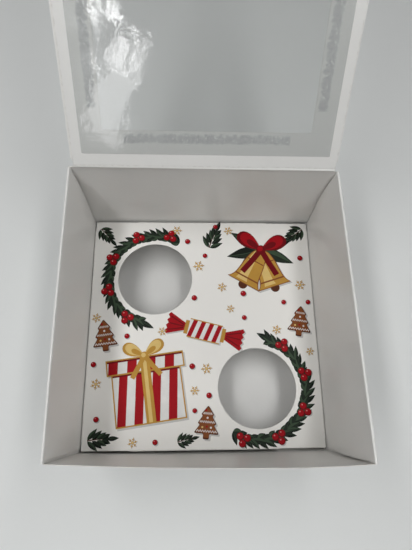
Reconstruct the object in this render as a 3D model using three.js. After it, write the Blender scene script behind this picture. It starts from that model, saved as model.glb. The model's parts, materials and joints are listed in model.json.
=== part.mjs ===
import * as THREE from 'three';

// A window cupcake box: a folding carton with double side walls, a hinged lid with a film window,
// and a lift-out insert with two round holes. Millimetres, X across, Y from front to back, Z up.
// The origin is the middle of the floor's underside.

// Outside of the erected box
const boxWidth = 203;
const boxDepth = 203;
const boxHeight = 127;

// Sheet thicknesses
const boardThickness = 0.5;
const insertThickness = 0.45;
const filmThickness = 0.2;
const glueThickness = 0.15;

// Clearances
const layerGap = 0.3; // between sheets that lie on each other and along creases
const creaseOffset = 0.1; // from a crease's axis to the sheet that turns about it
const flapGap = 0.2; // between a tucked side flap and the wall
const tuckGap = 0.4; // between the tucked front flap and the front wall
const tableGap = 0.1; // from a lock tab's end to the table

// Ears of the front and back walls, held between the layers of the side walls
const earLength = 62;
const earTopDrop = 3; // the ears end this far below the rolled edge

// Inner side walls and the tabs that lock them into the floor
const innerWallEndGap = 1; // at the rolled edge
const innerWallEndTaper = 3; // the ends draw in by this much towards the floor
const lockTabWidth = 30;
const lockTabSpacing = 90;
const lockTabTaper = 2;

// Lid, open as it stands
const lidOpenAngle = 130; // degrees from closed
const windowSideBorder = 23;
const windowEndBorder = 29; // at the hinge and at the front
const windowCornerRadius = 2;
const filmOverlap = 16;
const glueStripWidth = 7;
const glueStripInset = 2.5; // from the window's edge
const glueStripSetback = 15; // from the window's corner

// Side flaps of the lid
const sideFlapDepth = 20;
const sideFlapFolds = { left: -70, right: -64 }; // degrees from flat, below zero bent back behind the lid
const sideCreaseGap = 0.6; // from a side crease's axis to the sheets that it joins
const sideFlapHingeRelief = 8;
const sideFlapHingeTaper = 24;
const sideFlapFrontRelief = 4;
const sideFlapFrontTaper = 20;

// Front tuck flap of the lid
const tuckFlapDepth = 28;
const tuckFlapFold = 100; // degrees from flat
const tuckFlapSideRelief = 3.6;
const tuckFlapCornerRadius = 12;

// Lift-out insert
const deckHeight = 38; // top of the deck above the table
const deckSideGap = 0.6;
const deckBackGap = 1.6;
const deckFrontGap = 0.6;
const cupHoleDiameter = 66;
const cupHoleSegments = 64;
const backHoleFromLeft = 55.8; // centre of the back hole from the deck's edges
const backHoleFromBack = 55.4;
const frontHoleFromRight = 54.3; // centre of the front hole from the deck's edges
const frontHoleFromFront = 48.4;
const sideLegSetback = 8; // from the deck's corners
const endLegMargin = 2; // between folded neighbours

// Finishes
const boardWhite = { color: 0xf1f0ee, roughness: 0.42, metalness: 0 };
const printWhite = { color: 0xf6f4f1, roughness: 0.3, metalness: 0 };
const filmClear = { color: 0xdfe3e5, roughness: 0.08, metalness: 0, transparent: true, opacity: 0.25 };
const glueGrey = { color: 0xc9cacb, roughness: 0.6, metalness: 0 };

const radians = THREE.MathUtils.degToRad;

// Layers of the side walls, as distances from the middle of the box
const outerX = boxWidth / 2;
const outerY = boxDepth / 2;
const outerLayer = outerX - boardThickness; // inner face of the outer side wall
const earLayer = outerLayer - layerGap - boardThickness; // inner face of an ear
const innerLayer = earLayer - layerGap - boardThickness; // inner face of the inner side wall
const endLayer = outerY - boardThickness; // inner face of the front and back walls
const floorTop = boardThickness;
const spineBase = boxHeight - boardThickness;
const wallTop = spineBase - layerGap;
const sheetFoot = floorTop + layerGap; // lowest edge of what stands on the floor

const box = new THREE.Group();

// Drawings are made flat and then stood up. "across" turns a drawing's x, y and thickness to
// X, Z and -Y, and "along" turns them to Y, Z and +X.
const lying = new THREE.Euler(0, 0, 0);
const across = new THREE.Euler(Math.PI / 2, 0, 0);
const along = new THREE.Euler(Math.PI / 2, Math.PI / 2, 0);

function outline(points) {
  return new THREE.Shape(points.map(([x, y]) => new THREE.Vector2(x, y)));
}

function rectangle(left, bottom, right, top) {
  return outline([[left, bottom], [right, bottom], [right, top], [left, top]]);
}

function roundedRectangle(left, bottom, right, top, radius) {
  const shape = new THREE.Shape();
  shape.absarc(right - radius, bottom + radius, radius, -Math.PI / 2, 0);
  shape.absarc(right - radius, top - radius, radius, 0, Math.PI / 2);
  shape.absarc(left + radius, top - radius, radius, Math.PI / 2, Math.PI);
  shape.absarc(left + radius, bottom + radius, radius, Math.PI, Math.PI * 1.5);
  return shape;
}

function sheet(name, shape, thickness, finish, curveSegments = 8) {
  const geometry = new THREE.ExtrudeGeometry(shape, { depth: thickness, bevelEnabled: false, curveSegments });
  const mesh = new THREE.Mesh(geometry, new THREE.MeshStandardMaterial(finish));
  mesh.name = name;
  return mesh;
}

function addTo(group, mesh, turn, x, y, z) {
  mesh.rotation.copy(turn);
  mesh.position.set(x, y, z);
  group.add(mesh);
  return mesh;
}

// Floor, with a notch at each side edge for every lock tab

function floorPanel() {
  const sideEdge = outerLayer - layerGap;
  const frontEdge = endLayer - layerGap;
  const notchDepth = innerLayer - layerGap;
  const notchHalf = lockTabWidth / 2 + layerGap;
  const right = [];
  for (const tabY of [-lockTabSpacing / 2, lockTabSpacing / 2]) {
    right.push([sideEdge, tabY - notchHalf], [notchDepth, tabY - notchHalf]);
    right.push([notchDepth, tabY + notchHalf], [sideEdge, tabY + notchHalf]);
  }
  const left = right.map(([x, y]) => [-x, -y]);
  const points = [[sideEdge, -frontEdge], ...right, [sideEdge, frontEdge]];
  points.push([-sideEdge, frontEdge], ...left, [-sideEdge, -frontEdge]);
  addTo(box, sheet('floor_panel', outline(points), boardThickness, boardWhite), lying, 0, 0, 0);
}

// Front and back walls stand between the outer side walls

function endWalls(hingeHeight) {
  const half = outerLayer - layerGap;
  const backTop = hingeHeight - creaseOffset - boardThickness - layerGap;
  const front = sheet('front_wall', rectangle(-half, 0, half, boxHeight), boardThickness, boardWhite);
  addTo(box, front, across, 0, -endLayer, 0);
  const back = sheet('back_wall', rectangle(-half, 0, half, backTop), boardThickness, boardWhite);
  addTo(box, back, across, 0, outerY, 0);
}

// Each side is an outer wall, a rolled top edge and an inner wall that locks into the floor

function innerWallOutline() {
  const end = endLayer - innerWallEndGap;
  const footEnd = end - innerWallEndTaper;
  const points = [[footEnd, sheetFoot], [end, wallTop], [-end, wallTop], [-footEnd, sheetFoot]];
  for (const tabY of [-lockTabSpacing / 2, lockTabSpacing / 2]) {
    const half = lockTabWidth / 2;
    points.push([tabY - half, sheetFoot], [tabY - half + lockTabTaper, tableGap]);
    points.push([tabY + half - lockTabTaper, tableGap], [tabY + half, sheetFoot]);
  }
  return outline(points);
}

const sides = [[-1, 'left'], [1, 'right']];

// X of the lower face of an upright sheet whose face towards the middle is at a layer
function layerX(side, layer) {
  return side > 0 ? layer : -layer - boardThickness;
}

function sideWalls() {
  const outerShape = rectangle(-outerY, 0, outerY, wallTop);
  const spineShape = rectangle(0, -endLayer + layerGap, outerX - innerLayer, outerY);
  for (const [side, name] of sides) {
    const outer = sheet(`${name}_outer_wall`, outerShape, boardThickness, boardWhite);
    addTo(box, outer, along, layerX(side, outerLayer), 0, 0);
    const inner = sheet(`${name}_inner_wall`, innerWallOutline(), boardThickness, boardWhite);
    addTo(box, inner, along, layerX(side, innerLayer), 0, 0);
    const spine = sheet(`${name}_top_spine`, spineShape, boardThickness, boardWhite);
    addTo(box, spine, lying, side > 0 ? innerLayer : -outerX, 0, spineBase);
  }
}

function ears() {
  const crease = endLayer - layerGap;
  const tip = crease - earLength;
  const top = wallTop - earTopDrop;
  for (const [side, sideName] of sides) {
    for (const [end, endName] of [[-1, 'front'], [1, 'back']]) {
      const shape = outline([
        [end * tip, sheetFoot],
        [end * crease, sheetFoot],
        [end * crease, top],
        [end * tip, top],
      ]);
      const ear = sheet(`${endName}_${sideName}_ear`, shape, boardThickness, boardWhite);
      addTo(box, ear, along, layerX(side, earLayer), 0, 0);
    }
  }
}

// Lid. In the lid's own group x is across, y runs from the hinge to the front edge and z is the
// normal of its inner face. Each flap has a group of its own at its crease.

const hingeY = endLayer - creaseOffset;
const hingeZ = boxHeight - boardThickness - creaseOffset;
const sheetZ = -creaseOffset - boardThickness; // outer face of a sheet below its crease axis
const lidHalf = innerLayer - flapGap - creaseOffset - boardThickness; // to the side creases
const lidLength = hingeY + endLayer - tuckGap - creaseOffset - boardThickness; // to the front crease

const lid = new THREE.Group();
lid.position.set(0, hingeY, hingeZ);
lid.rotation.x = Math.PI - radians(lidOpenAngle);
box.add(lid);

function lidPanel(windowHalf, windowStart, windowEnd) {
  const half = lidHalf - sideCreaseGap;
  const shape = rectangle(-half, layerGap, half, lidLength - layerGap);
  shape.holes.push(roundedRectangle(-windowHalf, windowStart, windowHalf, windowEnd, windowCornerRadius));
  addTo(lid, sheet('lid_panel', shape, boardThickness, boardWhite, 3), lying, 0, 0, sheetZ);
}

function windowFilm(windowHalf, windowStart, windowEnd) {
  const half = windowHalf + filmOverlap;
  const glueZ = -creaseOffset + layerGap;
  const filmZ = glueZ + glueThickness + layerGap;
  const film = rectangle(-half, windowStart - filmOverlap, half, windowEnd + filmOverlap);
  addTo(lid, sheet('window_film', film, filmThickness, filmClear), lying, 0, 0, filmZ);

  const near = glueStripInset;
  const far = glueStripInset + glueStripWidth;
  const endHalf = windowHalf - glueStripSetback;
  const sideStart = windowStart + glueStripSetback;
  const sideEnd = windowEnd - glueStripSetback;
  const strips = {
    glue_strip_hinge: rectangle(-endHalf, windowStart - far, endHalf, windowStart - near),
    glue_strip_front: rectangle(-endHalf, windowEnd + near, endHalf, windowEnd + far),
    glue_strip_left: rectangle(-windowHalf - far, sideStart, -windowHalf - near, sideEnd),
    glue_strip_right: rectangle(windowHalf + near, sideStart, windowHalf + far, sideEnd),
  };
  for (const [name, shape] of Object.entries(strips)) {
    addTo(lid, sheet(name, shape, glueThickness, glueGrey), lying, 0, 0, glueZ);
  }
}

function sideFlaps() {
  const start = sideFlapHingeRelief;
  const end = lidLength - sideFlapFrontRelief;
  for (const [side, name] of sides) {
    const crease = new THREE.Group();
    crease.position.set(side * lidHalf, 0, 0);
    crease.rotation.y = -side * radians(sideFlapFolds[name]);
    lid.add(crease);
    const shape = outline([
      [side * sideCreaseGap, start],
      [side * sideFlapDepth, start + sideFlapHingeTaper],
      [side * sideFlapDepth, end - sideFlapFrontTaper],
      [side * sideCreaseGap, end],
    ]);
    addTo(crease, sheet(`lid_${name}_flap`, shape, boardThickness, boardWhite), lying, 0, 0, sheetZ);
  }
}

function tuckFlap() {
  const crease = new THREE.Group();
  crease.position.set(0, lidLength, 0);
  crease.rotation.x = radians(tuckFlapFold);
  lid.add(crease);
  const half = lidHalf - tuckFlapSideRelief;
  const bend = tuckFlapCornerRadius;
  const shape = new THREE.Shape();
  shape.moveTo(-half, layerGap);
  shape.lineTo(half, layerGap);
  shape.absarc(half - bend, tuckFlapDepth - bend, bend, 0, Math.PI / 2);
  shape.absarc(-half + bend, tuckFlapDepth - bend, bend, Math.PI / 2, Math.PI);
  addTo(crease, sheet('lid_front_flap', shape, boardThickness, boardWhite), lying, 0, 0, sheetZ);
}

// Insert: a deck with two holes on four legs that fold down from its edges

const deckHalf = innerLayer - deckSideGap;
const deckFront = -endLayer + deckFrontGap;
const deckBack = endLayer - deckBackGap;
const deckBase = deckHeight - insertThickness;
const legTop = deckBase - layerGap;
const legLength = legTop - sheetFoot;

function insertDeck() {
  const shape = rectangle(-deckHalf, deckFront, deckHalf, deckBack);
  const centres = [
    [-deckHalf + backHoleFromLeft, deckBack - backHoleFromBack],
    [deckHalf - frontHoleFromRight, deckFront + frontHoleFromFront],
  ];
  for (const [x, y] of centres) {
    const hole = new THREE.Path();
    hole.absarc(x, y, cupHoleDiameter / 2, 0, Math.PI * 2, true);
    shape.holes.push(hole);
  }
  const deck = sheet('insert_deck', shape, insertThickness, printWhite, cupHoleSegments / 2);
  addTo(box, deck, lying, 0, 0, deckBase);
}

function insertLegs() {
  const endHalf = deckHalf - legLength - endLegMargin;
  const endLeg = rectangle(-endHalf, sheetFoot, endHalf, legTop);
  const frontLeg = sheet('insert_front_leg', endLeg, insertThickness, printWhite);
  addTo(box, frontLeg, across, 0, deckFront + insertThickness, 0);
  const backLeg = sheet('insert_back_leg', endLeg, insertThickness, printWhite);
  addTo(box, backLeg, across, 0, deckBack, 0);
  const sideLeg = rectangle(deckFront + sideLegSetback, sheetFoot, deckBack - sideLegSetback, legTop);
  const leftLeg = sheet('insert_left_leg', sideLeg, insertThickness, printWhite);
  addTo(box, leftLeg, along, -deckHalf, 0, 0);
  const rightLeg = sheet('insert_right_leg', sideLeg, insertThickness, printWhite);
  addTo(box, rightLeg, along, deckHalf - insertThickness, 0, 0);
}

const windowHalf = lidHalf - windowSideBorder;
const windowStart = windowEndBorder;
const windowEnd = lidLength - windowEndBorder;

floorPanel();
endWalls(hingeZ);
sideWalls();
ears();
lidPanel(windowHalf, windowStart, windowEnd);
windowFilm(windowHalf, windowStart, windowEnd);
sideFlaps();
tuckFlap();
insertDeck();
insertLegs();

export default box;
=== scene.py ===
import json
import math
import random

import bpy
from mathutils import Matrix, Quaternion, Vector, noise
from mathutils.geometry import delaunay_2d_cdt


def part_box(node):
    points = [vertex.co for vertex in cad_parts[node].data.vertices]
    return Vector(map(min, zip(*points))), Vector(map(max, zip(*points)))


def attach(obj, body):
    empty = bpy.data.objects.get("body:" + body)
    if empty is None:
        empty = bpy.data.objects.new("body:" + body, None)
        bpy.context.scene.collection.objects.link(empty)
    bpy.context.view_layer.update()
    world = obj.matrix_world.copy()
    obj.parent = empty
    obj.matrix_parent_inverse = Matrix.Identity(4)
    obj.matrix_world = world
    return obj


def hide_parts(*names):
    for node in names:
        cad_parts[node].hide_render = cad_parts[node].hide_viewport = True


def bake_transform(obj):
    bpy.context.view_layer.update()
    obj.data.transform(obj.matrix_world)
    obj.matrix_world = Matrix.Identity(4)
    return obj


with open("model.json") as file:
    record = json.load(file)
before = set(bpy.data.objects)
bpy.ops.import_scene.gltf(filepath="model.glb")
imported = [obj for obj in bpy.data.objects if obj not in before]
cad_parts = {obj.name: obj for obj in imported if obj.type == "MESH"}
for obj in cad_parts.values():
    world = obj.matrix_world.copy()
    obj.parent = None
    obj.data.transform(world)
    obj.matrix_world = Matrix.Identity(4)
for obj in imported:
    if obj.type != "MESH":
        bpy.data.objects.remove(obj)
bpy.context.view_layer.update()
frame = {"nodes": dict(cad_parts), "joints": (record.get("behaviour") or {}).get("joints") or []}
print("frame loaded:", len(frame["nodes"]), "nodes")

# Lengths below are in millimetres, in the frame's axes.
toMetres = 0.001


def nodeBox(node):
    low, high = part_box(node)
    return low / toMetres, high / toMetres


def jointOf(name):
    return next(joint for joint in frame["joints"] if joint["name"] == name)


def jointPlace(name):
    return Vector(jointOf(name)["pos_m"]) / toMetres


deckLow, deckHigh = nodeBox("insert_deck")
boardThickness = nodeBox("floor_panel")[1].z
cardThickness = deckHigh.z - deckLow.z
deckTop = deckHigh.z
deckMid = deckTop - cardThickness / 2

outerX = nodeBox("right_outer_wall")[1].x - boardThickness / 2  # middle of each board layer
earX = nodeBox("front_right_ear")[0].x + boardThickness / 2
innerX = nodeBox("right_inner_wall")[0].x + boardThickness / 2
endY = nodeBox("back_wall")[1].y - boardThickness / 2
floorZ = boardThickness / 2
rimZ = nodeBox("front_wall")[1].z
sheetFoot = nodeBox("front_right_ear")[0].z

hinge = jointPlace("lid_hinge")
lidUp = (jointPlace("front_flap_crease") - hinge).normalized()
lidLength = (jointPlace("front_flap_crease") - hinge).length
lidHalf = jointPlace("right_flap_crease").x
across = Vector((1, 0, 0))
lidIn = across.cross(lidUp)  # points out of the lid's inner face
boardDrop = endY - hinge.y  # from a crease's axis to the middle of the board


# Camera

photoFrame = {"height": 550, "focal": 440.1}  # pixels
cameraSpot = {"place": (-15.5, -76.2, 416.7), "turn": (18.09, -2.518, -0.714), "sensor": 36, "near": 10}


def addCamera():
    data = bpy.data.cameras.new("camera")
    data.sensor_width = cameraSpot["sensor"]
    data.lens = photoFrame["focal"] / photoFrame["height"] * data.sensor_width
    data.clip_start = cameraSpot["near"] * toMetres
    camera = bpy.data.objects.new("camera", data)
    camera.location = Vector(cameraSpot["place"]) * toMetres
    camera.rotation_euler = [math.radians(angle) for angle in cameraSpot["turn"]]
    bpy.context.scene.collection.objects.link(camera)
    bpy.context.scene.camera = camera


addCamera()
bpy.context.scene.view_settings.view_transform = "Standard"
print("camera placed")


# Shader node groups that the finishes share

def addNode(tree, kind, **settings):
    node = tree.nodes.new(kind)
    for name, value in settings.items():
        setattr(node, name, value)
    return node


# Each named input takes a link, a colour or a number
def feed(tree, node, values):
    for label, value in values.items():
        socket = node.inputs[label]
        if isinstance(value, bpy.types.NodeSocket):
            tree.links.new(value, socket)
        else:
            socket.default_value = (*value, 1) if socket.type == "RGBA" else value


def calculate(tree, operation, *values):
    node = addNode(tree, "ShaderNodeMath", operation=operation)
    feed(tree, node, dict(enumerate(values)))
    return node.outputs[0]


def spread(tree, value, low, high, outLow=0.0, outHigh=1.0):
    node = addNode(tree, "ShaderNodeMapRange", interpolation_type="SMOOTHSTEP")
    feed(tree, node, {"Value": value, "From Min": low, "From Max": high, "To Min": outLow, "To Max": outHigh})
    return node.outputs["Result"]


def placeOf(tree):
    return addNode(tree, "ShaderNodeTexCoord").outputs["Object"]


def sizedPlace(tree, place, size, stretch=(1, 1, 1)):
    mapping = addNode(tree, "ShaderNodeMapping")
    feed(tree, mapping, {"Vector": place, "Scale": [part / (size * toMetres) for part in stretch]})
    return mapping.outputs["Vector"]


def noiseOf(tree, place, size, detail=2.0, stretch=(1, 1, 1)):
    texture = addNode(tree, "ShaderNodeTexNoise")
    feed(tree, texture, {"Vector": sizedPlace(tree, place, size, stretch), "Scale": 1.0, "Detail": detail})
    return texture.outputs[0]


def pieceMark(tree, name):
    return addNode(tree, "ShaderNodeAttribute", attribute_name=name).outputs["Fac"]


# Makes a colour lighter and darker by a swing about zero
def swung(tree, colour, swing, amount):
    node = addNode(tree, "ShaderNodeVectorMath", operation="SCALE")
    feed(tree, node, {0: colour, "Scale": calculate(tree, "MULTIPLY_ADD", swing, amount, 1.0)})
    return node.outputs[0]


def blended(tree, mask, first, second):
    node = addNode(tree, "ShaderNodeMix", data_type="RGBA")
    one, two = [i for i, socket in enumerate(node.inputs) if socket.type == "RGBA"]
    feed(tree, node, {"Factor": mask, one: first, two: second})
    return next(socket for socket in node.outputs if socket.type == "RGBA")


def newGroup(name, inputs, outputs):
    tree = bpy.data.node_groups.new(name, "ShaderNodeTree")
    for way, labels in (("INPUT", inputs), ("OUTPUT", outputs)):
        for label in labels:
            kind = "NodeSocketColor" if label == "Colour" else "NodeSocketFloat"
            tree.interface.new_socket(label, in_out=way, socket_type=kind)
    return tree, addNode(tree, "NodeGroupInput").outputs


def closeGroup(tree, **results):
    feed(tree, addNode(tree, "NodeGroupOutput"), results)
    return tree


pulp = {"cloud": 21, "formation": 2.6, "fibre": 0.42, "uneven": 0.12}


# Cloudy formation of the pulp under the coating, and the coating's fine texture
def makeBoardGrain():
    tree, given = newGroup("board grain", ("Colour", "Mottle", "Gloss"), ("Colour", "Roughness", "Height"))
    place = placeOf(tree)
    cloud = noiseOf(tree, place, pulp["cloud"], 3)
    formation = noiseOf(tree, place, pulp["formation"], 3)
    fibre = noiseOf(tree, place, pulp["fibre"], 2)
    swing = calculate(tree, "SUBTRACT", calculate(tree, "ADD", cloud, formation), 1.0)
    return closeGroup(
        tree,
        Colour=swung(tree, given["Colour"], swing, given["Mottle"]),
        Roughness=calculate(tree, "MULTIPLY_ADD", swing, pulp["uneven"], given["Gloss"]),
        Height=calculate(tree, "ADD", fibre, formation),
    )


wear = {"ragged": 3.2, "raggedRange": (0.42, 0.68), "narrow": 2.0, "thread": 0.5, "threadRange": (0.55, 0.7),
        "threadStretch": (1, 0.35, 1), "rubbed": (0.50, 0.48, 0.45), "cracked": (0.62, 0.60, 0.56)}


# Greyed, broken line along the cut edges, and the cracked coating on the folds
def makeEdgeRub():
    tree, given = newGroup("edge rub", ("Colour", "Rub", "Crack"), ("Colour", "Mask"))
    place = placeOf(tree)
    ragged = spread(tree, noiseOf(tree, place, wear["ragged"], 4), *wear["raggedRange"])
    near = calculate(tree, "POWER", pieceMark(tree, "rim"), wear["narrow"])
    rubbed = calculate(tree, "MULTIPLY", calculate(tree, "MULTIPLY", near, ragged), given["Rub"])
    threads = noiseOf(tree, place, wear["thread"], 3, wear["threadStretch"])
    threads = spread(tree, threads, *wear["threadRange"])
    folds = calculate(tree, "MULTIPLY", pieceMark(tree, "fold"), threads)
    cracked = calculate(tree, "MULTIPLY", folds, given["Crack"])
    worn = blended(tree, rubbed, given["Colour"], wear["rubbed"])
    worn = blended(tree, cracked, worn, wear["cracked"])
    return closeGroup(tree, Colour=worn, Mask=calculate(tree, "MAXIMUM", rubbed, cracked))


fleck = {"cell": 6, "radius": (0.02, 0.05), "share": (0.6, 0.7), "colour": (0.30, 0.29, 0.27)}


# Sparse grey specks
def makeDustFlecks():
    tree, given = newGroup("dust flecks", ("Colour", "Amount"), ("Colour",))
    cells = addNode(tree, "ShaderNodeTexVoronoi", feature="F1")
    feed(tree, cells, {"Vector": sizedPlace(tree, placeOf(tree), fleck["cell"]), "Scale": 1.0})
    speck = spread(tree, cells.outputs["Distance"], *fleck["radius"], 1.0, 0.0)
    split = addNode(tree, "ShaderNodeSeparateColor")
    feed(tree, split, {0: cells.outputs["Color"]})
    some = calculate(tree, "MULTIPLY", speck, spread(tree, split.outputs[0], *fleck["share"]))
    mask = calculate(tree, "MULTIPLY", some, given["Amount"])
    return closeGroup(tree, Colour=blended(tree, mask, given["Colour"], fleck["colour"]))


inkCover = {"fine": 0.3, "wide": 7}


# Fine uneven cover of printed ink
def makePrintGrain():
    tree, given = newGroup("print grain", ("Colour", "Strength"), ("Colour", "Height"))
    place = placeOf(tree)
    fine = noiseOf(tree, place, inkCover["fine"], 2)
    wide = noiseOf(tree, place, inkCover["wide"], 3)
    swing = calculate(tree, "SUBTRACT", calculate(tree, "ADD", fine, wide), 1.0)
    return closeGroup(tree, Colour=swung(tree, given["Colour"], swing, given["Strength"]), Height=fine)


boardGrain = makeBoardGrain()
edgeRub = makeEdgeRub()
dustFlecks = makeDustFlecks()
printGrain = makePrintGrain()
print("shader groups made")


# Finishes. A bump is its strength and its depth.

def newMaterial(name):
    material = bpy.data.materials.new(name)
    material.use_nodes = True
    tree = material.node_tree
    shader = next(node for node in tree.nodes if node.type == "BSDF_PRINCIPLED")
    return material, tree, shader


def placeGroup(tree, group, **values):
    node = addNode(tree, "ShaderNodeGroup", node_tree=group)
    feed(tree, node, values)
    return node.outputs


def grainOf(tree, finish):
    return placeGroup(tree, boardGrain, Colour=finish["colour"], Mottle=finish["mottle"],
                      Gloss=finish["gloss"])


def mixShaders(tree, share, first, second):
    mix = addNode(tree, "ShaderNodeMixShader")
    feed(tree, mix, {0: share, 1: first.outputs[0], 2: second.outputs[0]})
    output = next(node for node in tree.nodes if node.type in ("OUTPUT_MATERIAL", "OUTPUT_WORLD"))
    feed(tree, output, {"Surface": mix.outputs[0]})


def addBump(tree, shader, height, bump):
    node = addNode(tree, "ShaderNodeBump")
    feed(tree, node, {"Height": height, "Strength": bump[0], "Distance": bump[1] * toMetres})
    feed(tree, shader, {"Normal": node.outputs["Normal"]})


boardFinish = {"colour": (0.733, 0.729, 0.708), "mottle": 0.035, "gloss": 0.35, "shine": 0.45,
               "rub": 0.55, "rubRough": 0.3, "crack": 0.2, "dust": 0.3, "bump": (0.25, 0.02)}
cardFinish = {"colour": (0.81, 0.796, 0.762), "mottle": 0.015, "gloss": 0.48, "shine": 0.2,
              "rub": 0.35, "rubRough": 0.3, "crack": 0.3, "dust": 0.08, "bump": (0.25, 0.02)}
backFinish = {"colour": (0.50, 0.48, 0.45), "mottle": 0.09, "gloss": 0.75, "shine": 0.15,
              "rub": 0.4, "rubRough": 0.3, "crack": 0.3, "dust": 0.4, "bump": (0.25, 0.02)}


def makeCoated(name, finish):
    material, tree, shader = newMaterial(name)
    grain = grainOf(tree, finish)
    rub = placeGroup(tree, edgeRub, Colour=grain["Colour"], Rub=finish["rub"], Crack=finish["crack"])
    dust = placeGroup(tree, dustFlecks, Colour=rub["Colour"], Amount=finish["dust"])
    rough = calculate(tree, "MULTIPLY_ADD", rub["Mask"], finish["rubRough"], grain["Roughness"])
    feed(tree, shader, {"Base Color": dust["Colour"], "Roughness": rough,
                        "Specular IOR Level": finish["shine"]})
    addBump(tree, shader, grain["Height"], finish["bump"])
    return material


edgeFinish = {"colour": (0.70, 0.685, 0.65), "mottle": 0.16, "gloss": 0.82, "dust": 0.4, "bump": (0.6, 0.06)}


def makeCutEdge():
    material, tree, shader = newMaterial("cut board edge")
    grain = grainOf(tree, edgeFinish)
    dust = placeGroup(tree, dustFlecks, Colour=grain["Colour"], Amount=edgeFinish["dust"])
    feed(tree, shader, {"Base Color": dust["Colour"], "Roughness": grain["Roughness"]})
    addBump(tree, shader, grain["Height"], edgeFinish["bump"])
    return material


inkFinish = {"strength": 0.22, "dust": 0.08, "roughness": 0.5, "shine": 0.1, "bump": (0.15, 0.01)}


def makeInk(name, colour):
    material, tree, shader = newMaterial("ink " + name)
    grain = placeGroup(tree, printGrain, Colour=colour, Strength=inkFinish["strength"])
    dust = placeGroup(tree, dustFlecks, Colour=grain["Colour"], Amount=inkFinish["dust"])
    feed(tree, shader, {"Base Color": dust["Colour"], "Roughness": inkFinish["roughness"],
                        "Specular IOR Level": inkFinish["shine"]})
    addBump(tree, shader, grain["Height"], inkFinish["bump"])
    return material


filmFinish = {"colour": (0.77, 0.78, 0.775), "clear": (0.89, 0.895, 0.895), "index": 1.5, "haze": 0.045,
              "roughness": 0.05, "rubbed": 0.05, "rubSize": 26, "rubRange": (0.45, 0.8), "crumple": 16,
              "bump": (0.65, 0.3)}


# Clear film with a faint haze of rubbed marks. Light on its way to other surfaces passes straight through.
def makeFilm():
    material, tree, shader = newMaterial("window film")
    place = placeOf(tree)
    marks = spread(tree, noiseOf(tree, place, filmFinish["rubSize"], 4), *filmFinish["rubRange"])
    feed(tree, shader, {
        "Base Color": filmFinish["colour"],
        "Transmission Weight": 1 - filmFinish["haze"],
        "IOR": filmFinish["index"],
        "Roughness": calculate(tree, "MULTIPLY_ADD", marks, filmFinish["rubbed"], filmFinish["roughness"]),
    })
    addBump(tree, shader, noiseOf(tree, place, filmFinish["crumple"], 3), filmFinish["bump"])
    clear = addNode(tree, "ShaderNodeBsdfTransparent")
    feed(tree, clear, {"Color": filmFinish["clear"]})
    rays = addNode(tree, "ShaderNodeLightPath").outputs
    passing = calculate(tree, "MAXIMUM", rays["Is Shadow Ray"], rays["Is Diffuse Ray"])
    mixShaders(tree, passing, shader, clear)
    return material


glueFinish = {"colour": (0.525, 0.53, 0.525), "mottle": 0.4, "gloss": 0.5, "white": (0.80, 0.80, 0.79),
              "bubble": 2.2, "bubbleRange": (0.60, 0.68), "bubbleWhite": 0.8, "rimWhite": 0.35,
              "bump": (0.6, 0.15)}


def makeGlue():
    material, tree, shader = newMaterial("dried glue")
    grain = grainOf(tree, glueFinish)
    bubbles = noiseOf(tree, placeOf(tree), glueFinish["bubble"], 2)
    bubbles = spread(tree, bubbles, *glueFinish["bubbleRange"])
    bubbles = calculate(tree, "MULTIPLY", bubbles, glueFinish["bubbleWhite"])
    rim = calculate(tree, "MULTIPLY", pieceMark(tree, "rim"), glueFinish["rimWhite"])
    white = calculate(tree, "MAXIMUM", bubbles, rim)
    feed(tree, shader, {"Base Color": blended(tree, white, grain["Colour"], glueFinish["white"]),
                        "Roughness": grain["Roughness"]})
    addBump(tree, shader, grain["Height"], glueFinish["bump"])
    return material


coatedBoard = makeCoated("coated board", boardFinish)
printedCard = makeCoated("printed card", cardFinish)
cardBack = makeCoated("plain card back", backFinish)
cutEdge = makeCutEdge()
clearFilm = makeFilm()
driedGlue = makeGlue()
print("finishes made")


# Sheets: a flat cut outline, folded or bowed by a shape, given its thickness

boardStock = {"thickness": boardThickness, "skin": (coatedBoard, coatedBoard, cutEdge), "slot": "board"}
cardStock = {"thickness": cardThickness, "skin": (printedCard, cardBack, cutEdge), "slot": "printed_card"}
sheetMake = {"edgeRound": 0.1, "rimWidth": 1.4, "clear": 0.16, "cell": 0.05, "probe": 0.02, "bendRows": 7,
             "sharpAngle": 32}


def evenRows(start, stop, step):
    count = max(1, round(abs(stop - start) / step))
    return [start + (stop - start) * i / count for i in range(count + 1)]


# Rows of the mesh inside bounds, which are left, bottom, right and top
def meshRows(bounds, step, stepV=None):
    left, bottom, right, top = bounds
    return evenRows(left, right, step), evenRows(bottom, top, stepV or step)


def block(left, bottom, right, top):
    return [(left, bottom), (right, bottom), (right, top), (left, top)]


def sidesOf(loop):
    return zip(loop, loop[1:] + loop[:1])


def isInside(point, loop):
    odd = False
    for (x0, y0), (x1, y1) in sidesOf(loop):
        if (y0 > point[1]) != (y1 > point[1]):
            if point[0] < (x1 - x0) * (point[1] - y0) / (y1 - y0) + x0:
                odd = not odd
    return odd


def edgeDistance(point, loop):
    nearest = math.inf
    for (x0, y0), (x1, y1) in sidesOf(loop):
        dx, dy = x1 - x0, y1 - y0
        share = ((point[0] - x0) * dx + (point[1] - y0) * dy) / max(dx * dx + dy * dy, 1e-12)
        share = min(1, max(0, share))
        nearest = min(nearest, math.hypot(point[0] - x0 - share * dx, point[1] - y0 - share * dy))
    return nearest


def wound(loop, clockwise):
    area = sum(x0 * y1 - x1 * y0 for (x0, y0), (x1, y1) in sidesOf(loop))
    return list(loop) if (area < 0) == clockwise else list(loop)[::-1]


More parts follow.
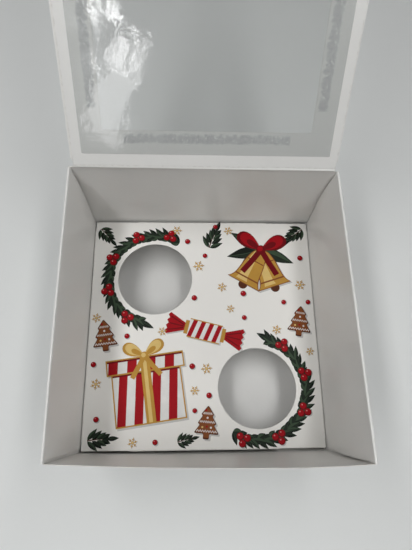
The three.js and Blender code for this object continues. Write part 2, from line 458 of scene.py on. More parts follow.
# Adds a point wherever an edge of the outline crosses a row of the mesh
def cutAtRows(loop, rowsU, rowsV):
    points = []
    for (u0, v0), (u1, v1) in sidesOf(loop):
        shares = {0.0}
        for low, high, rows in ((u0, u1, rowsU), (v0, v1, rowsV)):
            if abs(high - low) > 1e-6:
                shares.update((row - low) / (high - low) for row in rows)
        last = -1
        for share in sorted(shares):
            if 0 <= share < 1 - 1e-4 and share - last > 1e-4:
                points.append((u0 + (u1 - u0) * share, v0 + (v1 - v0) * share))
                last = share
    return points


def drawnIn(loop, amount):
    moved = []
    for i, corner in enumerate(loop):
        before = Vector(corner) - Vector(loop[i - 1])
        after = Vector(loop[(i + 1) % len(loop)]) - Vector(corner)
        first = Vector((-before.y, before.x)).normalized()
        second = Vector((-after.y, after.x)).normalized()
        moved.append(tuple(Vector(corner) + (first + second) * (amount / max(1 + first.dot(second), 0.4))))
    return moved


def addMesh(name, points, faces, materials, faceMaterials, marks):
    mesh = bpy.data.meshes.new(name)
    mesh.from_pydata([Vector(point) * toMetres for point in points], [], faces)
    mesh.polygons.foreach_set("material_index", faceMaterials)
    mesh.polygons.foreach_set("use_smooth", [True] * len(faces))
    mesh.set_sharp_from_angle(angle=math.radians(sheetMake["sharpAngle"]))
    for label, values in marks.items():
        mesh.attributes.new(label, "FLOAT", "POINT").data.foreach_set("value", values)
    for material in materials:
        mesh.materials.append(material)
    piece = bpy.data.objects.new(name, mesh)
    bpy.context.scene.collection.objects.link(piece)
    return piece


# shape(u, v) gives the middle of the sheet, and the face on the side of its normal is the first skin
def buildSheet(name, outline, shape, rows, stock, holes=(), relief=None, fold=None,
               edgeRound=sheetMake["edgeRound"]):
    loops = [cutAtRows(wound(outline, False), *rows)]
    loops += [cutAtRows(wound(hole, True), *rows) for hole in holes]
    inner = [drawnIn(loop, edgeRound) for loop in loops]
    flat = []
    edges = []
    for loop in inner:
        first = len(flat)
        flat += loop
        edges += [(first + i, first + (i + 1) % len(loop)) for i in range(len(loop))]
    onEdge = len(flat)

    def onSheet(point):
        return isInside(point, inner[0]) and not any(isInside(point, hole) for hole in inner[1:])

    candidates = [point for loop in loops for point in drawnIn(loop, sheetMake["rimWidth"])]
    candidates += [(u, v) for u in rows[0] for v in rows[1]]
    cells = set()
    for point in candidates:
        cell = tuple(round(part / sheetMake["cell"]) for part in point)
        if cell in cells or not onSheet(point):
            continue
        if min(edgeDistance(point, loop) for loop in inner) > sheetMake["clear"]:
            cells.add(cell)
            flat.append(point)
    corners, _, triangles, sources, _, _ = delaunay_2d_cdt([Vector(p) for p in flat], edges, [], 0, 1e-5)
    kept = [tuple(triangle) for triangle in triangles
            if onSheet(sum((corners[i] for i in triangle), Vector((0, 0))) / 3)]
    placeOfInput = {given: i for i, group in enumerate(sources) for given in group}

    def normalAt(u, v):
        step = sheetMake["probe"]
        alongU = Vector(shape(u + step, v)) - Vector(shape(u - step, v))
        alongV = Vector(shape(u, v + step)) - Vector(shape(u, v - step))
        return alongU.cross(alongV).normalized()

    half = stock["thickness"] / 2
    top = []
    bottom = []
    for u, v in corners:
        middle, normal = Vector(shape(u, v)), normalAt(u, v)
        raised = relief(u, v) if relief else 0
        top.append(middle + normal * (half + raised))
        bottom.append(middle - normal * half)
    count = len(corners)
    points = top + bottom
    faces = kept + [(count + c, count + b, count + a) for a, b, c in kept]
    faceMaterials = [0] * len(kept) + [1] * len(kept)
    given = 0
    for loop in loops:
        first = len(points)
        points += [Vector(shape(u, v)) for u, v in loop]
        size = len(loop)
        for i in range(size):
            j = (i + 1) % size
            a, b = placeOfInput[given + i], placeOfInput[given + j]
            faces.append((first + i, first + j, b, a))
            faces.append((count + a, count + b, first + j, first + i))
            faceMaterials += [2, 2]
        given += size
    edgePlaces = {placeOfInput[i] for i in range(onEdge)}
    rim = [1.0 if i in edgePlaces else 0.0 for i in range(count)] * 2
    rim += [1.0] * (len(points) - len(rim))
    folds = [fold(u, v) if fold else 0.0 for u, v in corners] * 2
    folds += [0.0] * (len(points) - len(folds))
    return addMesh(name, points, faces, stock["skin"], faceMaterials, {"rim": rim, "fold": folds})


# A sheet that rides on a body in place of the frame's nodes
def addSheet(name, body, nodes, outline, shape, rows, stock, **extras):
    piece = buildSheet(name, outline, shape, rows, stock, **extras)
    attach(piece, body)
    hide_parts(*nodes)


# A line with its corners rounded, measured along its own length
def foldedPath(corners, radii, step):
    parts = []
    length = 0
    here = Vector(corners[0])
    bends = []
    rows = [0.0]

    def addLine(target):
        nonlocal here, length
        run = (target - here).length
        if run > 1e-6:
            parts.append((length, "line", here.copy(), (target - here) / run))
            rows.extend(evenRows(length, length + run, step)[1:])
            length += run
        here = target

    for i, radius in enumerate(radii, 1):
        corner = Vector(corners[i])
        before = (corner - Vector(corners[i - 1])).normalized()
        after = (Vector(corners[i + 1]) - corner).normalized()
        turn = math.atan2(before.x * after.y - before.y * after.x, before.dot(after))
        setback = radius * math.tan(abs(turn) / 2)
        addLine(corner - before * setback)
        side = math.copysign(1, turn)
        centre = here + Vector((-before.y, before.x)) * radius * side
        run = radius * abs(turn)
        parts.append((length, "arc", centre, (here - centre, side / radius)))
        rows.extend(evenRows(length, length + run, run / sheetMake["bendRows"])[1:])
        bends.append((length, length + run))
        length += run
        here = corner + after * setback
    addLine(Vector(corners[-1]))

    def at(distance):
        part = parts[0]
        for candidate in parts:
            if distance >= candidate[0] - 1e-9:
                part = candidate
        begin, kind, origin, direction = part
        if kind == "line":
            return origin + direction * (distance - begin)
        arm, rate = direction
        return origin + Matrix.Rotation((distance - begin) * rate, 2) @ arm

    return {"at": at, "bends": bends, "rows": rows, "length": length}


def roundedCorners(corners, radii, steps=5):
    points = []
    for i, corner in enumerate(corners):
        radius = radii[i] if isinstance(radii, (list, tuple)) else radii
        if radius <= 0:
            points.append(tuple(corner))
            continue
        corner = Vector(corner)
        before = (Vector(corners[i - 1]) - corner).normalized()
        after = (Vector(corners[(i + 1) % len(corners)]) - corner).normalized()
        reach = radius / math.tan(before.angle(after) / 2)
        start, stop = corner + before * reach, corner + after * reach
        for k in range(steps + 1):
            share = k / steps
            points.append(tuple(start.lerp(corner, share).lerp(corner.lerp(stop, share), share)))
    return points


def smooth(share):
    share = min(1, max(0, share))
    return share * share * (3 - 2 * share)


def between(pair, share):
    return pair[0] + (pair[1] - pair[0]) * share


def ripple(x, y, seed, size):
    return noise.noise(Vector((x / size, y / size, seed)))


# Tray

floorSheet = {"bend": 0.75, "cornerGap": 1.2, "step": 16}
hingeStrip = {"below": 0.6, "above": 3.0, "bead": 0.55}
traySheet = {"step": 7, "seed": 11.3}

# How far out the rim stands: the side walls from back to front, the back wall from left to right
trayLean = {"left": (2.1, 1.2), "right": (0.0, 2.2), "back": (2.2, 0.6), "rise": 2.2, "leftTurn": 1.5}


# The walls of the erected tray lean, most at the rim
def leaned(x, y, z):
    share = max(0, z / rimZ) ** trayLean["rise"]
    u, v = x / outerX, y / endY
    left = between(trayLean["left"], max(0, -v) ** trayLean["leftTurn"])
    right = between(trayLean["right"], (1 - v) / 2)
    outX = (left if u < 0 else right) * u
    outY = between(trayLean["back"], (1 + u) / 2) * max(0, v)
    return Vector((x + outX * share, y + outY * share, z))


sideWall = {
    "rollShare": 0.49,  # the rim's radius, as a share of the width it goes over
    "pinch": {"left": 0.5, "right": 0.1, "depth": 3.2, "radius": 1.0},  # draws the inner wall out at the rim
    "endGap": {"left": 1.9, "right": 1.2},  # the inner wall stops this short of the outer wall's end
    "endTaper": 1.2,  # and draws in by this much down to the floor
    "cornerCut": 5,
    "footCut": 0.8,
    "tab": {"spacing": 90, "half": 15, "taper": 2, "foot": 0.1, "gap": 0.3},
    "rack": {"left": -0.4, "right": 2.8},  # the rim's front corner stands forward
    "bulge": {"left": (0.9, 0.8), "right": (2.3, 1.8)},  # free ends of the inner wall: front, back
    "bulgeFade": 26,
    "bulgeDrop": 3,  # from the rim down to the bulge
    "bulgeRound": 1.5,
    "foldMargin": 0.1,
    "wave": 0.3,
    "inner": {"size": 42, "edge": 20, "lift": 0.3},  # the waves of each layer, which die out at its edges
    "outer": {"size": 55, "edge": 30},
}


# Floor, with a notch for every lock tab of the side walls
def buildFloor():
    halfX = outerX - floorSheet["bend"]
    halfY = endY - floorSheet["bend"]
    tab = sideWall["tab"]
    notchHalf = tab["half"] + tab["gap"]
    notchEnd = innerX - boardThickness / 2 - tab["gap"]
    outline = []
    for side in (1, -1):
        shallow, deep = side * halfX, side * notchEnd
        outline.append((shallow, -side * halfY))
        for place in (-1, 1):
            middle = side * place * tab["spacing"] / 2
            low, high = middle - side * notchHalf, middle + side * notchHalf
            outline += [(shallow, low), (deep, low), (deep, high), (shallow, high)]
        outline.append((shallow, side * halfY))
    rows = evenRows(-halfX, halfX, floorSheet["step"])
    addSheet("floor_board", "tray", ["floor_panel"], outline, lambda u, v: (u, v, floorZ), (rows, rows),
             boardStock)


endWall = {
    "earBend": 0.3,
    "cutIn": (0.3, 0.9),  # the wall's ends draw in: at the ear's top, at the free edge
    "bow": {"front": 2.3, "back": 0.4},  # how far the middle of the free edge stands out
    "knee": {"front": 0.45, "back": 1.0},  # share of the height over which it does so
    "lean": {"front": 3.2, "back": 0.0},  # how far its right end stands out
    "wave": 0.25,
    "waveSize": 46,
    "bowRound": 2.4,  # powers with which bow and waves die out towards the corners
    "waveRound": 4,
}


# The front or back wall with its two ears, bent back along the side walls
def buildEndWall(end, name):
    earTip = abs(nodeBox(name + "_right_ear")[0 if end > 0 else 1].y)
    earTop = nodeBox(name + "_right_ear")[1].z
    top = rimZ if end < 0 else hinge.z - hingeStrip["below"]
    bend = floorSheet["bend"]
    plan = foldedPath([(-earX, earTip), (-earX, endY), (earX, endY), (earX, earTip)],
                      [endWall["earBend"]] * 2, traySheet["step"])
    rise = foldedPath([(endY - bend, floorZ), (endY, floorZ), (endY, top)], [bend], traySheet["step"])
    half = plan["length"] / 2
    wallHalf = half - plan["bends"][0][0]
    liftFoot = rise["bends"][0][1] - bend - floorZ  # from height to distance along the rise
    wide = earX - floorSheet["cornerGap"]
    foot = sheetFoot + liftFoot
    shoulder = earTop + liftFoot
    lowCut, highCut = endWall["cutIn"]
    right = [(wide, 0), (wide, foot), (half, foot), (half, shoulder), (wallHalf - lowCut, shoulder),
             (wallHalf - highCut, rise["length"])]
    outline = [(-wide, 0)] + right + [(-u, v) for u, v in right[:0:-1]]
    bow, knee, lean = (endWall[label][name] for label in ("bow", "knee", "lean"))

    def shape(u, v):
        x, y = plan["at"](u + half)
        depth, height = rise["at"](v)
        free = min(1, abs(x) / earX)
        out = bow * smooth(height / rimZ / knee) * (1 - free ** endWall["bowRound"])
        out += lean * smooth(height / rimZ) * smooth((x + earX) / (2 * earX))
        waves = ripple(x, height, traySheet["seed"] + end, endWall["waveSize"])
        out += endWall["wave"] * waves * (1 - free ** endWall["waveRound"])
        sunk = depth - endY  # the bend at the floor
        return leaned(-end * x, end * (y + sunk + out), height)

    rows = ([row - half for row in plan["rows"]], rise["rows"])
    nodes = [name + "_wall", name + "_left_ear", name + "_right_ear"]
    addSheet(name + "_wall_board", "tray", nodes, outline, shape, rows, boardStock)


# One board: up the outside, over the rolled rim and down the inside to the lock tabs
def buildSideWall(side, name):
    pinch, tab, bend = sideWall["pinch"], sideWall["tab"], floorSheet["bend"]
    pinched = innerX + pinch[name]
    roll = sideWall["rollShare"] * (outerX - pinched)
    top = rimZ - boardThickness / 2
    path = foldedPath(
        [(outerX - bend, floorZ), (outerX, floorZ), (outerX, top), (pinched, top),
         (innerX, top - pinch["depth"]), (innerX, tab["foot"])],
        [bend, roll, roll, pinch["radius"]],
        traySheet["step"],
    )
    (_, bendEnd), (rollStart, _), (_, rollEnd), _ = path["bends"]
    endOuter = endY + boardThickness / 2
    endInner = endOuter - sideWall["endGap"][name]
    endFloor = endY - floorSheet["cornerGap"]
    foot = path["length"] - (sheetFoot - tab["foot"])
    outline = [(endFloor, 0), (endFloor, bendEnd), (endOuter, bendEnd + sideWall["footCut"]),
               (endOuter, rollEnd), (endInner, rollEnd + sideWall["cornerCut"]),
               (endInner - sideWall["endTaper"], foot)]
    mirrored = [(-u, v) for u, v in outline[::-1]]
    for middle in (tab["spacing"] / 2, -tab["spacing"] / 2):
        wide, narrow = tab["half"], tab["half"] - tab["taper"]
        outline += [(middle + wide, foot), (middle + narrow, path["length"]),
                    (middle - narrow, path["length"]), (middle - wide, foot)]
    outline += mirrored
    frontBulge, backBulge = sideWall["bulge"][name]
    bulgeHeight = rimZ - deckTop - sideWall["bulgeDrop"]
    margin = sideWall["foldMargin"]

    def calm(layer, height, low):
        edge = sideWall[layer]["edge"]
        return sideWall["wave"] * smooth((rimZ - height) / edge) * smooth((height - low) / edge)

    def shape(u, v):
        x, height = path["at"](v)
        y = side * u
        inward = 0
        if v > rollEnd:
            share = min(1, max(0, (height - deckTop) / bulgeHeight))
            middle = math.sin(math.pi * share ** sideWall["bulgeRound"])
            inward += backBulge * middle * math.exp(-(endInner - y) / sideWall["bulgeFade"])
            inward += frontBulge * middle * math.exp(-(endInner + y) / sideWall["bulgeFade"])
            waves = ripple(y, height, traySheet["seed"] + side, sideWall["inner"]["size"])
            inward += calm("inner", height, deckTop) * (waves + sideWall["inner"]["lift"])
        elif v > bendEnd:
            waves = ripple(y, height, traySheet["seed"] - side, sideWall["outer"]["size"])
            inward += calm("outer", height, 0) * waves
        forward = sideWall["rack"][name] * smooth(height / rimZ) * smooth((endOuter - y) / (2 * endOuter))
        return leaned(side * (x - inward), y - forward, height)

    def fold(u, v):
        return 1.0 if rollStart - margin < v < rollEnd + margin else 0.0

    rows = (evenRows(-endOuter, endOuter, traySheet["step"]), path["rows"])
    nodes = [name + "_outer_wall", name + "_top_spine", name + "_inner_wall"]
    addSheet(name + "_side_board", "tray", nodes, outline, shape, rows, boardStock, fold=fold)


buildFloor()
for end, name in ((-1, "front"), (1, "back")):
    buildEndWall(end, name)
for side, name in ((-1, "left"), (1, "right")):
    buildSideWall(side, name)
print("tray built")


# Lid. Its own x is across and y runs from the hinge to the front crease.

def lidPoint(x, y, z):
    return hinge + across * x + lidUp * y + lidIn * z


lidSheet = {"step": 9, "half": nodeBox("lid_panel")[1].x, "edgeGap": 0.3, "bow": 0.6, "bowEase": 60,
            "widen": {"left": (1.0, 1.0), "right": (-0.3, 2.0)}}  # at the hinge, at the front
window = {"sideBorder": 23, "endBorder": 29, "cornerRadius": 2}
windowHalf = lidHalf - window["sideBorder"]
windowStart = window["endBorder"]
windowEnd = lidLength - window["endBorder"]


def lidBow(x, y):
    ease = lidSheet["bowEase"]
    return -lidSheet["bow"] * (1 - (x / lidHalf) ** 2) * smooth(y / ease) * smooth((lidLength - y) / ease)


def lidEdge(side, along):
    widen = lidSheet["widen"]["left" if side < 0 else "right"]
    return side * (lidSheet["half"] + between(widen, along / lidLength))


def buildLidPanel():
    start, stop = hingeStrip["above"], lidLength - lidSheet["edgeGap"]
    corners = ((-1, start), (1, start), (1, stop), (-1, stop))
    outline = [(lidEdge(side, along), along) for side, along in corners]
    hole = roundedCorners(block(-windowHalf, windowStart, windowHalf, windowEnd), window["cornerRadius"])

    def shape(u, v):
        return lidPoint(u, v, -boardDrop + lidBow(u, v))

    rows = meshRows((lidEdge(-1, stop), start, lidEdge(1, stop), stop), lidSheet["step"])
    addSheet("lid_board", "lid", ["lid_panel"], outline, shape, rows, boardStock, holes=[hole])


creaseStrip = {"rows": 14, "blend": (0.15, 0.85), "groovePlace": 0.1, "grooveWidth": 0.06, "edgeRound": 0.02}


# A strip along a crease, bent from one sheet's edge to the next, with the ridge that scoring leaves.
# Both ends, and the ways the strip leaves and meets them, depend on the place along the crease.
def buildCrease(name, span, ends, ways, stock, bead=0.0, groove=0.0):
    first, last = ends
    leave, arrive = ways
    middle = sum(span) / 2
    reach = (last(middle) - first(middle)).length

    def shape(u, v):
        share = v / reach
        square, cube = share ** 2, share ** 3
        place = first(u) * (2 * cube - 3 * square + 1) + last(u) * (3 * square - 2 * cube)
        bend = leave(u) * (cube - 2 * square + share) + arrive(u) * (cube - square)
        return place + bend * reach

    def relief(u, v):
        share = min(1, max(0, v / reach))
        dip = math.exp(-((share - creaseStrip["groovePlace"]) / creaseStrip["grooveWidth"]) ** 2)
        return bead * math.sin(math.pi * share) ** 2 - groove * dip

    bounds = (span[0], 0, span[1], reach)
    rows = meshRows(bounds, lidSheet["step"], reach / creaseStrip["rows"])
    crease = buildSheet(name, block(*bounds), shape, rows, stock, relief=relief, fold=lambda u, v: 1.0,
                        edgeRound=creaseStrip["edgeRound"])
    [shape(middle, share * reach) * toMetres for share in creaseStrip["blend"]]
    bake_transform(crease)


def buildHingeCrease():
    below, above = hingeStrip["below"], hingeStrip["above"]
    ends = (lambda u: leaned(u, endY, hinge.z - below), lambda u: lidPoint(u, above, -boardDrop))
    ways = (lambda u: Vector((0, 0, 1)), lambda u: lidUp)
    span = (lidEdge(-1, 0), lidEdge(1, 0))
    buildCrease("lid_hinge_crease", span, ends, ways, boardStock, bead=hingeStrip["bead"])


# The ways along a flap and out of its inner face, when it is folded from the lid's plane
def foldedWays(outward, degrees):
    cosine, sine = math.cos(math.radians(degrees)), math.sin(math.radians(degrees))
    return outward * cosine + lidIn * sine, lidIn * cosine - outward * sine


sideFlap = {"depth": 20, "hingeRelief": 8, "hingeTaper": 24, "frontRelief": 4, "frontTaper": 16,
            "cornerRadius": 5, "backStop": -80, "curl": 2.2, "wave": 0.4, "waveSize": 60, "seed": 5.1,
            "step": 5, "groove": 0.45,
            "roll": {"left": (16, 16), "right": (3, 17)}}  # swell of the crease: at the hinge, at the front


# A side flap is bent back behind the lid, and its joint's upper limit takes it to the back stop
def buildSideFlap(side, name):
    body = "lid_" + name + "_flap"
    stopAngle = sideFlap["backStop"] + jointOf(name + "_flap_crease")["range_deg"][1]
    out, inner = foldedWays(across * side, stopAngle)
    start, stop = sideFlap["hingeRelief"], lidLength - sideFlap["frontRelief"]
    depth, radius = sideFlap["depth"], sideFlap["cornerRadius"]
    gap = lidHalf - lidSheet["half"]
    corners = [(start, gap), (stop, gap), (stop - sideFlap["frontTaper"], depth),
               (start + sideFlap["hingeTaper"], depth)]
    outline = [(-side * along, away) for along, away in roundedCorners(corners, [0, 0, radius, radius])]

    def shape(u, v):
        waves = ripple(u, v, sideFlap["seed"] * side, sideFlap["waveSize"])
        lift = (sideFlap["wave"] * waves - sideFlap["curl"]) * smooth(v / depth)
        return lidPoint(side * lidHalf, -side * u, 0) + out * v + inner * (lift - boardDrop)

    span = sorted((-side * start, -side * stop))
    rows = meshRows((span[0], gap, span[1], depth), lidSheet["step"], sideFlap["step"])
    addSheet(body + "_board", body, [body], outline, shape, rows, boardStock)
    roll = sideFlap["roll"][name]
    ends = (lambda u: lidPoint(lidEdge(side, -side * u), -side * u, -boardDrop), lambda u: shape(u, gap))
    ways = (lambda u: across * side * between(roll, -side * u / lidLength), lambda u: out)
    buildCrease("lid_" + name + "_crease", span, ends, ways, boardStock,
                groove=sideFlap["groove"])


tuckFlap = {"depth": 28, "sideRelief": 3.6, "cornerRadius": 12, "cornerSteps": 9, "curl": 0.8, "step": 4}


# The tuck flap is folded in, and its joint's upper limit takes it flat
def buildTuckFlap():
    out, inner = foldedWays(lidUp, jointOf("front_flap_crease")["range_deg"][1])
    half = lidHalf - tuckFlap["sideRelief"]
    depth, gap, radius = tuckFlap["depth"], lidSheet["edgeGap"], tuckFlap["cornerRadius"]
    bounds = (-half, gap, half, depth)
    outline = roundedCorners(block(*bounds), [0, 0, radius, radius], tuckFlap["cornerSteps"])

    def shape(u, v):
        lift = tuckFlap["curl"] * (v / depth) ** 2
        return lidPoint(u, lidLength, 0) + out * v + inner * (lift - boardDrop)

    rows = meshRows(bounds, lidSheet["step"], tuckFlap["step"])
    addSheet("lid_front_flap_board", "lid_front_flap", ["lid_front_flap"], outline, shape, rows, boardStock)
    ends = (lambda u: lidPoint(u, lidLength - gap, -boardDrop), lambda u: shape(u, gap))
    ways = (lambda u: lidUp, lambda u: out)
    buildCrease("lid_front_crease", (-half, half), ends, ways, boardStock)


filmStock = {"thickness": 0.1, "skin": (clearFilm,) * 3, "slot": "film"}
filmSheet = {
    "overlap": 16,
    "hingeOverlap": 17,
    "cornerRadius": 1,
    "edgeRound": 0.02,
    "step": 3,
    "seat": 0.17,  # where it is glued, from the plane of the lid's creases
    "rise": 0.08,
    "ease": 30,  # it comes free of the board over this distance
    "waves": ((0.085, 1.5, 0.8, 2.7, 58), (0.03, 1.3, 0.7, 8.4, 23)),  # height, across, along, seed, size
    "pucker": {"height": 0.035, "pitch": 3.7, "place": -58, "width": 24, "drift": 1.2, "seed": 4.4,
               "size": 30},
}


def filmHeight(x, y):
    ease, pucker = filmSheet["ease"], filmSheet["pucker"]
    free = smooth((windowHalf - abs(x)) / ease) * smooth(min(y - windowStart, windowEnd - y) / ease)
    slack = sum(height * ripple(x * u, y * v, seed, size) for height, u, v, seed, size in filmSheet["waves"])
    drift = pucker["drift"] * ripple(x, y, pucker["seed"], pucker["size"])
    near = math.exp(-((x - pucker["place"]) / pucker["width"]) ** 2)
    puckers = pucker["height"] * math.sin(x / pucker["pitch"] + drift) * near
    return filmSheet["seat"] + lidBow(x, y) + free * (filmSheet["rise"] + slack + puckers)


def buildFilm():
    half = windowHalf + filmSheet["overlap"]
    bounds = (-half, windowStart - filmSheet["hingeOverlap"], half, windowEnd + filmSheet["overlap"])
    outline = roundedCorners(block(*bounds), filmSheet["cornerRadius"])

    def shape(u, v):
        return lidPoint(u, v, filmHeight(u, v))

    rows = meshRows(bounds, filmSheet["step"])
    addSheet("clear_film", "lid", ["window_film"], outline, shape, rows, filmStock,
             edgeRound=filmSheet["edgeRound"])


glueStock = {"thickness": 0.12, "skin": (driedGlue,) * 3, "slot": "glue"}
glueStrip = {"width": 7.4, "inset": 1.6, "setback": 15, "gap": 0.01, "edgeRound": 0.04, "step": 6,
             "pitch": 1.2, "seed": 31, "wander": 0.35, "hold": 0.7, "tooth": (-0.3, 1), "ragged": 2.4,
             "lean": 0.3, "brim": (-0.6, 0.5), "follow": 0.5}


# Strips of spread glue, fairly straight outside and ragged towards the window
def buildGlue():
    draw = random.Random(glueStrip["seed"])
    inset, setback = glueStrip["inset"], glueStrip["setback"]
    wander, lean = glueStrip["wander"], glueStrip["lean"]
    acrossLid = (-windowHalf + setback, windowHalf - setback)
    alongLid = (windowStart + setback, windowEnd - setback)
    runs = {
        "hinge": (acrossLid, lambda a, b: (a, windowStart - inset - b)),
        "front": (acrossLid, lambda a, b: (a, windowEnd + inset + b)),
        "left": (alongLid, lambda a, b: (-windowHalf - inset - b, a)),
        "right": (alongLid, lambda a, b: (windowHalf + inset + b, a)),
    }
    lift = (boardThickness + glueStock["thickness"]) / 2 + glueStrip["gap"] - boardDrop

    def shape(u, v):
        return lidPoint(u, v, lidBow(u, v) + lift)

    for name, (span, place) in runs.items():
        inside = []
        outside = []
        drift = 0
        for along in evenRows(*span, glueStrip["pitch"]):
            drift = glueStrip["hold"] * drift + draw.uniform(-wander, wander)
            tooth = draw.uniform(*glueStrip["tooth"]) ** 2 * glueStrip["ragged"]
            inside.append(place(along + draw.uniform(-lean, lean), tooth - drift))
            brim = draw.uniform(*glueStrip["brim"]) - glueStrip["follow"] * drift
            outside.append(place(along, glueStrip["width"] + brim))
        loop = inside + outside[::-1]
        us, vs = zip(*loop)
        rows = meshRows((min(us), min(vs), max(us), max(vs)), glueStrip["step"])
        addSheet("glue_" + name, "lid", ["glue_strip_" + name], loop, shape, rows, glueStock,
                 edgeRound=glueStrip["edgeRound"])


buildLidPanel()
buildHingeCrease()
for side, name in ((-1, "left"), (1, "right")):
    buildSideFlap(side, name)
buildTuckFlap()
buildFilm()
buildGlue()
print("lid built")


# Insert

holes = {"diameter": 66, "places": ((-43.0, 44.0), (44.5, -52.0)), "segments": 96}
insertFold = {"radius": 0.3, "spread": 0.15, "cornerCut": 5, "taper": 0.2, "step": 11, "legStep": 9}


def onCircle(middle, radius, degrees):
    angle = math.radians(degrees)
    return middle[0] + radius * math.cos(angle), middle[1] + radius * math.sin(angle)


def disc(radius, count=18, middle=(0, 0)):
    return [onCircle(middle, radius, 360 * i / count) for i in range(count)]


def buildDeck():
    radius = insertFold["radius"] + cardThickness / 2
    margin = radius - insertFold["spread"]
    bounds = (deckLow.x + margin, deckLow.y + radius, deckHigh.x - margin, deckHigh.y - radius)
    cuts = [disc(holes["diameter"] / 2, holes["segments"], place) for place in holes["places"]]
    addSheet("insert_deck_card", "insert", ["insert_deck"], block(*bounds), lambda u, v: (u, v, deckMid),
             meshRows(bounds, insertFold["step"]), cardStock, holes=cuts)


# A leg folded down from the deck, and the rounded fold that joins them
def buildLeg(name, outward, edge):
    body = "insert_" + name + "_leg"
    outward, down = Vector(outward), Vector((0, 0, -1))
    along = down.cross(outward)
    low, high = nodeBox(body)
    start, stop = sorted((low.dot(along), high.dot(along)))
    radius, cut = insertFold["radius"], insertFold["cornerCut"]
    bendTop = deckMid - radius
    legMid = edge - cardThickness / 2
    height = bendTop - low.z

    def shape(u, v):
        return along * u + outward * legMid + Vector((0, 0, bendTop)) + down * v

    def deckEdge(u):
        return along * u + outward * (legMid - radius) + Vector((0, 0, deckMid))

    taper = cut * insertFold["taper"]
    outline = [(start, 0), (stop, 0), (stop - taper, height - cut), (stop - cut, height),
               (start + cut, height), (start + taper, height - cut)]
    rows = meshRows((start, 0, stop, height), insertFold["step"], insertFold["legStep"])
    addSheet(body + "_card", body, [body], outline, shape, rows, cardStock)
    ends = (deckEdge, lambda u: shape(u, 0))
    ways = (lambda u: outward, lambda u: down)
    buildCrease("insert_" + name + "_fold", (start, stop), ends, ways, cardStock)


buildDeck()
buildLeg("front", (0, -1, 0), -deckLow.y)
buildLeg("back", (0, 1, 0), deckHigh.y)
buildLeg("left", (-1, 0, 0), insertFold["spread"] - deckLow.x)
buildLeg("right", (1, 0, 0), insertFold["spread"] + deckHigh.x)
print("insert built")


# Printed design on the deck: thin ink shapes, laid over each other

inkColours = {
    "shade": (0.54, 0.53, 0.51),
    "leafDark": (0.006, 0.009, 0.006),
    "leaf": (0.014, 0.022, 0.014),
    "leafLight": (0.04, 0.066, 0.038),
    "redDark": (0.14, 0.002, 0.005),
    "red": (0.32, 0.003, 0.008),
    "pink": (0.58, 0.20, 0.19),
    "gold": (0.46, 0.25, 0.045),
    "goldLight": (0.66, 0.47, 0.17),
    "white": (0.72, 0.71, 0.69),
    "brown": (0.215, 0.066, 0.02),
    "brownDark": (0.08, 0.024, 0.01),
}
inkLayer = {"step": 0.015, "part": 0.0016, "parts": 9, "sunk": 0.01}
inkShapes = {colour: [] for colour in inkColours}


# A spot is x, y, turn in degrees and size
def placed(loop, spot):
    x, y, turn, size = spot
    cosine, sine = math.cos(math.radians(turn)), math.sin(math.radians(turn))
    return [(x + size * (cosine * u - sine * v), y + size * (sine * u + cosine * v)) for u, v in loop]


# Shapes on one level differ by a part of its height, so that no two faces lie in one plane
def ink(colour, loop, spot, level):
    part = sum(len(shapes) for shapes in inkShapes.values()) % inkLayer["parts"]
    height = inkLayer["step"] * level + inkLayer["part"] * part
    inkShapes[colour].append((wound(placed(loop, spot), False), height))


def softShade(loop, spot, reach=0.9):
    x, y, turn, size = spot
    ink("shade", loop, (x + reach, y - reach, turn, size), 1)


# A stroke of even width along a line of points
def stroke(points, width):
    left = []
    right = []
    for i, point in enumerate(points):
        before = Vector(points[max(i - 1, 0)])
        after = Vector(points[min(i + 1, len(points) - 1)])
        run = (after - before).normalized()
        offset = Vector((-run.y, run.x)) * (width / 2)
        left.append(tuple(Vector(point) + offset))
        right.append(tuple(Vector(point) - offset))
    return left + right[::-1]


def leafLoop(length, width, low=-1, high=1, steps=7):
    def edge(side):
        shares = [i / steps for i in range(steps + 1)]
        return [(length * share, side * width / 2 * math.sin(math.pi * share ** 0.8)) for share in shares]
    return edge(high)[:-1] + edge(low)[:0:-1]


# A leaf in two greens, with its lit half
def inkLeaf(spot, length, width, dark):
    base, lit = ("leafDark", "leaf") if dark else ("leaf", "leafLight")
    level = 2 if dark else 4
    vein = [(0, 0), (length * 0.5, 0.06 * width), (length * 0.94, 0)]
    ink(base, leafLoop(length, width), spot, level)
    ink(lit, leafLoop(length * 0.92, width * 0.8, 0.12), spot, level + 1)
    ink("leafLight", stroke(vein, 0.05 * width), spot, level + 1)


def inkBerry(x, y, radius):
    spot = (x, y, 0, radius)
    softShade(disc(1), spot, 0.7)
    ink("redDark", disc(1), spot, 6)
    ink("red", disc(0.84, 18, (-0.1, 0.1)), spot, 7)
    ink("pink", disc(0.2, 10, (-0.34, 0.38)), spot, 8)


def snowflakeLoop():
    half = [(0.20, 0.075), (0.46, 0.07), (0.60, 0.25), (0.72, 0.19), (0.63, 0.06), (0.88, 0.06)]
    arm = [(u, -v) for u, v in half] + [(1.0, 0)] + half[::-1]
    return [point for i in range(6) for point in placed(arm, (0, 0, 60 * i, 1))]


def inkSnowflake(x, y, radius, turn):
    spot = (x, y, turn, radius)
    softShade(snowflakeLoop(), spot, 0.5)
    ink("gold", snowflakeLoop(), spot, 3)
    ink("goldLight", disc(0.2, 12), spot, 4)
    for i in range(6):
        ink("goldLight", block(0.3, -0.02, 0.86, 0.02), (x, y, turn + 60 * i, radius), 4)


